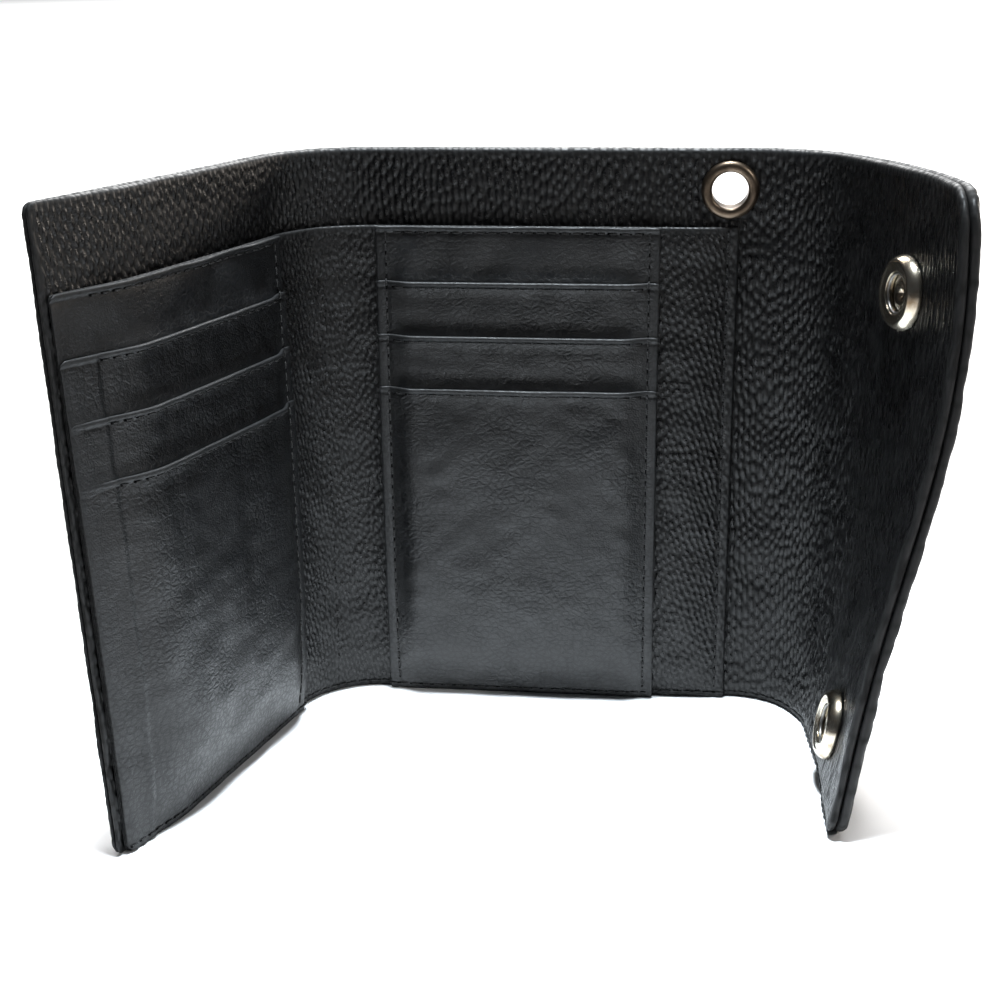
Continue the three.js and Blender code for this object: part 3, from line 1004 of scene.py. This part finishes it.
def add_stack_sheet(stack, node, low, high, inner, outer, edge):
    """One sheet of a card stack, with finer grid lines at its seams and its top edge."""
    marks = [*stack.seams, stack.left + HEM] if stack.where == "left" else stack.seams
    sheet = Sheet(
        spread(stack.left + edge, stack.right - edge, SMOOTH_STEP, [(u, 2.6, FINE_STEP) for u in marks]),
        spread(low + edge, high - edge, SMOOTH_STEP, [(high, 2.6, 0.2), (BOTTOM_SEAM_RISE, 1.6, FINE_STEP)]),
        low,
        high,
        inner,
        outer,
        edge,
        corners=("left", LEFT_CORNER if low == 0 else 0.8, 0.8) if stack.where == "left" else None,
    )
    piece = sheet.build(f"{node}_leather", SMOOTH_LEATHER)
    belongs(piece, stack.body, node)


def add_card_stack(stack):
    add_stack_sheet(
        stack,
        f"{stack.where}_backing",
        0.0,
        POCKET_TOP,
        lambda u, v: backing_inner(stack, u, v),
        lambda u, v: backing_outer(stack, u, v),
        BACKING_THICKNESS / 2,
    )
    for number in range(1, SLOT_COUNT + 1):
        add_stack_sheet(
            stack,
            f"{stack.where}_slot_{number}",
            (SLOT_COUNT - number) * SLOT_STEP,
            slot_top(number),
            lambda u, v, n=number: slot_inner(stack, n, u, v),
            lambda u, v, n=number: slot_outer(stack, n, u, v),
            SLOT_EDGE,
        )


# ---- Sewing

THREAD_SIDES = 8
THREAD_RINGS = 7
TWIST_LENGTH = 0.45

# Needle holes are near-black plugs of painted shade. They lie just past the ends of a stitch, and start a
# hair above the leather so that they show
HOLE_SIDES = 10
HOLE_LENGTH, HOLE_WIDTH = 0.48, 0.4
HOLE_PAST_END = 0.12
HOLE_LEVELS = (0.035, -0.3)
Stitch = namedtuple("Stitch", "u v along_u along_v w side")


def line_of_stitches(start, end, surface, side=1):
    """Stitches at an even pitch along a straight line on the flat leather."""
    (u0, v0), (u1, v1) = start, end
    length = math.hypot(u1 - u0, v1 - v0)
    count = max(1, round(length / STITCH_PITCH))
    along_u, along_v = (u1 - u0) / length, (v1 - v0) / length
    stitches = []
    for k in range(count):
        share = (k + 0.5) / count
        u, v = u0 + (u1 - u0) * share, v0 + (v1 - v0) * share
        stitches.append(Stitch(u, v, along_u, along_v, float(surface(np.float64(u), np.float64(v))), side))
    return stitches


def stitch_parts(stitch):
    """One thread on the leather, its ends going down into two needle holes, each a dark plug of painted
    shade.
    """

    def spot(travel, aside, height):
        u = stitch.u + travel * stitch.along_u - aside * stitch.along_v
        v = stitch.v + travel * stitch.along_v + aside * stitch.along_u
        return place(u, v, stitch.w + stitch.side * height).reshape(-1, 3)

    along = np.linspace(-1, 1, THREAD_RINGS)[:, None]
    lift = THREAD_RADIUS * (0.55 - 1.1 * np.abs(along) ** 3)
    radius = THREAD_RADIUS * np.sqrt(np.clip(1.02 - along**8, 0.02, 1))
    angle = full_turn(THREAD_SIDES)
    travel = along * STITCH_LENGTH / 2
    height = lift + radius * np.sin(angle)
    thread = spot(travel, radius * np.cos(angle), height)
    twist = (travel / TWIST_LENGTH + angle / (2 * np.pi) + 0 * height).ravel()

    ring = full_turn(HOLE_SIDES)
    aside = HOLE_WIDTH / 2 * np.sin(ring)
    holes = []
    for end in (-1, 1):
        reach = end * (STITCH_LENGTH / 2 + HOLE_PAST_END) + HOLE_LENGTH / 2 * np.cos(ring)
        holes += [spot(reach, aside, level) for level in HOLE_LEVELS]
    return thread, twist, np.concatenate(holes)


def tube_faces(rings, sides):
    faces = [
        (r * sides + s, r * sides + (s + 1) % sides, (r + 1) * sides + (s + 1) % sides, (r + 1) * sides + s)
        for r in range(rings - 1)
        for s in range(sides)
    ]
    faces.append(tuple(range(sides))[::-1])
    faces.append(tuple((rings - 1) * sides + s for s in range(sides)))
    return faces


def hole_shade_plug_faces():
    """Two short plugs of painted shade, each a ring on the leather and a ring below it."""
    plug = [face[::-1] for face in tube_faces(2, HOLE_SIDES)]
    return plug + [tuple(i + 2 * HOLE_SIDES for i in face) for face in plug]


def on_every(stitches, faces, start, size):
    """The faces of one part of a stitch, once for every stitch, and turned to its side of the leather."""
    copies = []
    for n, stitch in enumerate(stitches):
        copies += [tuple(i + start + n * size for i in face)[:: stitch.side] for face in faces]
    return copies


def sew(name, stitches):
    """All the stitches of one seam as one piece."""
    threads, twists, holes = zip(*(stitch_parts(s) for s in stitches))
    hole_start = len(stitches) * len(threads[0])
    thread_faces = on_every(stitches, tube_faces(THREAD_RINGS, THREAD_SIDES), 0, len(threads[0]))
    plug_faces = on_every(stitches, hole_shade_plug_faces(), hole_start, len(holes[0]))
    piece = finish_mesh(name, np.concatenate([*threads, *holes]), thread_faces + plug_faces, THREAD)
    # The plugs in the needle holes take the near-black material: painted shade.
    piece.data.materials.append(NEEDLE_HOLE_SHADE)
    slots = np.repeat([0, 1], [len(thread_faces), len(plug_faces)]).astype(np.int32)
    piece.data.polygons.foreach_set("material_index", slots)
    twist = np.concatenate([*twists, np.zeros(len(stitches) * len(holes[0]))])
    add_attribute(piece, "twist", "FLOAT", twist)
    return piece


def front_surface(u, v):
    """The leather that lies in front at a place near the bottom edge."""
    for stack in STACKS:
        if stack.left < u < stack.right:
            return slot_inner(stack, SLOT_COUNT, u, v)
    if LEFT_EDGE + EDGE_INSET < u < BILL_RIGHT_EDGE:
        return bill_inner(u, v)
    return lining_inner(u, v)


def add_bottom_seam():
    """The seam along the bottom edge, through every layer, seen on the inside and the outside."""
    corner = FLAP_BOTTOM_CORNER
    for face, surface, side in (("inside", front_surface, 1), ("outside", shell_outer, -1)):
        for span in SPANS:
            left = max(span.left, LEFT_EDGE + LEFT_CORNER)
            right = min(span.right, RIGHT_EDGE - corner)
            start, end = (left, BOTTOM_SEAM_RISE), (right, BOTTOM_SEAM_RISE)
            piece = sew(f"thread_bottom_{face}_{span.where}", line_of_stitches(start, end, surface, side))
            bend_with(piece)


def add_stack_seams(stack):
    """The side seams, and the seam under the top edge of the backing and of each slot."""
    stitches = []

    def top_layer(u, v):
        for number in range(SLOT_COUNT, 0, -1):
            if v < slot_top(number):
                return slot_inner(stack, number, u, v)
        return backing_inner(stack, u, v)

    left = stack.left + (HEM if stack.where == "left" else STACK_SEAM_INSET)
    right = stack.right - STACK_SEAM_INSET
    for u in stack.seams:
        stitches += line_of_stitches((u, BOTTOM_SEAM_RISE + 1.5), (u, POCKET_TOP - 0.8), top_layer)
    for number in range(SLOT_COUNT + 1):
        v = slot_top(number) - SLOT_SEAM_DROP
        stitches += line_of_stitches((left + 1.2, v), (right - 1.2, v), top_layer)
    piece = sew(f"thread_{stack.where}_stack", stitches)
    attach(piece, stack.body)


def add_bill_seam():
    u = BILL_RIGHT_EDGE - STACK_SEAM_INSET
    stitches = line_of_stitches((u, BOTTOM_SEAM_RISE + 1.5), (u, POCKET_TOP - 0.8), bill_inner)
    piece = sew("thread_bill_panel", stitches)
    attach(piece, "centre")


# ---- Metal fittings

ROUND_SEGMENTS = 96


def soften(profile, times):
    """A closed profile with its corners cut back to a smooth curve."""
    points = np.array(profile, float)
    for _ in range(times):
        ahead = np.roll(points, -1, 0)
        near, far = 0.75 * points + 0.25 * ahead, 0.25 * points + 0.75 * ahead
        points = np.stack([near, far], 1).reshape(-1, 2)
    return points


def on_leather(local, u, v):
    """Points of a shape whose +Y is the way in through the leather, seated at a place on it."""
    matrix = np.array(seat_matrix(u, v))
    return local.reshape(-1, 3) * MM @ matrix[:3, :3].T + matrix[:3, 3]


def turn_profile(name, profile, u, v, material, relief=None):
    """A closed profile of (radius, w) turned about the line through a place on the leather."""
    angle = full_turn(ROUND_SEGMENTS)
    radius = profile[:, 0][:, None] + 0 * angle
    w = profile[:, 1][:, None] + 0 * angle
    if relief:
        w = w + relief(radius, angle, w)
    points = on_leather(np.stack([radius * np.cos(angle), w, radius * np.sin(angle)], -1), u, v)
    ring = np.arange(len(profile))[:, None] * ROUND_SEGMENTS
    step = np.arange(ROUND_SEGMENTS)
    next_ring, next_step = np.roll(ring, -1), np.roll(step, -1)
    corners = [ring + step, next_ring + step, next_ring + next_step, ring + next_step]
    return finish_mesh(name, points, np.stack(corners, -1).reshape(-1, 4).tolist(), material)


def add_fitting(node, profile, u, v, body, material=NICKEL, relief=None, times=2):
    piece = turn_profile(f"{node}_nickel", soften(profile, times), u, v, material, relief)
    belongs(piece, body, node)


def add_eyelet():
    u, v, bore, tube, rim = (EYELET[key] for key in ("u", "v", "bore", "tube", "rim"))
    barrel = [
        (tube, 0.2), (rim + 0.1, 0.1), (rim + 0.3, 0.3), (rim, 0.9), (rim - 0.7, 1.35),
        (tube - 0.1, 1.3), (bore - 0.05, 0.8), (bore, 0.0), (bore, -5.1), (bore + 0.1, -5.5),
        (tube + 0.2, -5.75), (rim - 0.6, -5.45), (rim - 0.5, -5.15), (tube + 0.2, -5.1), (tube, -4.6),
    ]
    washer = [(tube + 0.3, -4.95), (rim, -4.95), (rim + 0.2, -4.6), (rim, -4.1), (tube + 0.3, -4.1)]
    add_fitting("eyelet_barrel", barrel, u, v, "centre", BRONZED)
    add_fitting("eyelet_washer", washer, u, v, "centre", BRONZED)


def fluted(radius, angle, w):
    """A ring of beads round the rim of the cap and twelve soft flutes on its dome."""
    dome = w < -5.0
    beads = 0.28 * np.abs(np.sin(16 * angle)) * groove(radius - 0.86 * SNAP_RADIUS, 0.6)
    flutes = 0.16 * np.cos(12 * angle) * groove(radius - 0.5 * SNAP_RADIUS, 1.6)
    boss = 0.3 * groove(radius, 1.1)
    return -(beads + flutes + boss) * dome


def add_snap(level, v):
    """Cap, socket and ring spring on the flap, and the stud on the left panel that they close on."""
    radius = SNAP_RADIUS
    cap = [(0.05, -6.55)]
    steps = 14
    for k in range(1, steps):
        angle = math.pi / 2 * k / steps
        cap.append((radius * math.sin(angle), -4.75 - 1.8 * math.cos(angle)))
    cap += [(radius, -4.7), (radius, -4.35), (radius - 0.4, -4.2), (2.1, -4.15), (2.0, -3.9)]
    cap += [(2.0, 0.7), (2.2, 1.1), (2.6, 1.15), (2.6, 1.35), (2.2, 1.4), (1.3, 1.2), (0.05, 0.2)]
    socket = [
        (2.4, 0.3), (radius - 0.2, 0.2), (radius, 0.5), (radius - 0.05, 1.0), (radius - 0.3, 1.7),
        (radius - 0.7, 2.3), (6.45, 2.7), (6.05, 2.9), (5.7, 2.85), (5.45, 2.7), (5.0, 2.6), (4.6, 2.5),
        (4.25, 2.4), (4.15, 2.25), (4.45, 2.15), (4.5, 1.5), (4.2, 1.15), (2.4, 1.0),
    ]
    stud = [
        (2.2, -6.8), (2.6, -6.95), (3.0, -6.85), (3.25, -6.5), (3.2, -6.1), (2.85, -5.5),
        (2.85, -5.1), (3.2, -4.95), (5.3, -4.85), (5.6, -4.6), (5.5, -4.15), (2.2, -4.1),
    ]
    head = float(lining_face(STUD_U))
    post = [(0.05, -6.5), (1.5, -6.65), (1.9, -6.4), (1.9, head + 0.1), (4.3, head + 0.1)]
    post += [(4.4, head + 0.25), (4.1, head + 0.45), (0.05, head + 0.5)]
    add_fitting(f"snap_cap_{level}", cap, SNAP_U, v, "right_flap", relief=fluted, times=1)
    add_fitting(f"snap_socket_{level}", socket, SNAP_U, v, "right_flap")
    add_fitting(f"stud_{level}", stud, STUD_U, v, "left_panel")
    add_fitting(f"stud_post_{level}", post, STUD_U, v, "left_panel")
    add_ring_spring(level, v)


def add_ring_spring(level, v):
    """An open ring of round wire inside the socket."""
    radius, wire, height, gap = 3.95, 0.33, 1.85, math.radians(40)
    steps, sides = 60, 12
    travel = np.linspace(gap / 2, 2 * np.pi - gap / 2, steps)[:, None]
    around = full_turn(sides)
    reach = radius + wire * np.cos(around)
    lift = height + wire * np.sin(around) + 0 * travel
    points = on_leather(np.stack([np.cos(travel) * reach, lift, np.sin(travel) * reach], -1), SNAP_U, v)
    faces = [face[::-1] for face in tube_faces(steps, sides)]
    piece = finish_mesh(f"ring_spring_{level}_wire", points, faces, SPRING_STEEL)
    belongs(piece, "right_flap", f"ring_spring_{level}")


# ---- Studio


def add_floor():
    reach = 12.0
    corners = np.array([(-reach, -reach, 0), (reach, -reach, 0), (reach, reach, 0), (-reach, reach, 0)])
    material, nodes = new_material("paper")
    spot = nodes.add("TexCoord").outputs["Object"]
    tone = nodes.mix(nodes.noise(spot, 60.0, 4.0), (0.86, 0.86, 0.87, 1), (0.9, 0.9, 0.9, 1))
    nodes.paint("Base Color", tone)
    nodes.paint("Roughness", 0.8)
    finish_mesh("floor", corners, [(0, 1, 2, 3)], material)


def add_light(name, kind, position, target, power, colour=(1, 1, 1), **settings):
    """A light at a position, turned to a target."""
    data = bpy.data.lights.new(name, kind)
    data.energy = power
    data.color = colour
    for key, value in settings.items():
        setattr(data, key, value)
    light = bpy.data.objects.new(name, data)
    light.location = position
    light.rotation_euler = (Vector(target) - Vector(position)).to_track_quat("-Z", "Y").to_euler()
    bpy.context.scene.collection.objects.link(light)


def add_softbox(name, position, target, size, power, colour=(1, 1, 1)):
    add_light(name, "AREA", position, target, power, colour, shape="SQUARE", size=size)


def add_spot(name, position, target, radius, power, cone, colour):
    """A round light whose pool of light fades out smoothly towards the edge of its cone."""
    settings = {"shadow_soft_size": radius, "spot_size": math.radians(cone), "spot_blend": 1.0}
    add_light(name, "SPOT", position, target, power, colour, **settings)


def add_studio():
    add_floor()
    add_spot("floor_light", (0.0, -0.045, 1.3), (0.0, -0.045, 0), 0.09, 215, 16, (0.86, 0.94, 1.0))
    add_softbox("back_softbox", (0, 0.75, 0.8), (0, 0.7, 0), 0.5, 12)
    add_softbox("background_light", (0, 3.5, 2.2), (0, 3.2, 0), 4.0, 300)
    add_softbox("key_light", (0.62, -0.4, 0.55), (-0.04, -0.02, 0.11), 0.07, 1.6, (1, 0.98, 0.95))
    add_softbox("side_softbox", (0.95, 0.65, 0.28), (-0.07, -0.06, 0.115), 0.25, 5.6, (1.0, 0.9, 0.8))
    world = bpy.data.worlds.new("studio")
    world.use_nodes = True
    background = world.node_tree.nodes["Background"]
    background.inputs["Color"].default_value = (0.8, 0.85, 0.95, 1)
    background.inputs["Strength"].default_value = 0.045
    bpy.context.scene.world = world
    bpy.context.scene.view_settings.view_transform = "Standard"


def add_camera():
    """Looks down at the open wallet from a little to its right."""
    pitch, yaw, roll = (math.radians(a) for a in (18.61, -7.0, -0.69))
    level = Vector((math.cos(yaw), -math.sin(yaw), 0))
    ahead = Vector((math.sin(yaw) * math.cos(pitch), math.cos(yaw) * math.cos(pitch), -math.sin(pitch)))
    upright = level.cross(ahead)
    right = math.cos(roll) * level + math.sin(roll) * upright
    up = math.cos(roll) * upright - math.sin(roll) * level
    data = bpy.data.cameras.new("camera")
    data.sensor_width = 36.0
    data.lens = 59.36
    data.clip_start = 0.01
    data.clip_end = 100.0
    camera = bpy.data.objects.new("camera", data)
    camera.matrix_world = Matrix.Translation(Vector((39.57, -363.04, 169.78)) * MM) @ (
        Matrix((right, up, -ahead)).transposed().to_4x4()
    )
    bpy.context.scene.collection.objects.link(camera)
    bpy.context.scene.camera = camera


# ---- The wallet

add_camera()
add_studio()
add_skins()
for stack in STACKS:
    add_card_stack(stack)
    add_stack_seams(stack)
add_bill_seam()
add_bottom_seam()
add_eyelet()
for level, height in SNAP_HEIGHTS.items():
    add_snap(level, height)

bpy.context.view_layer.update()
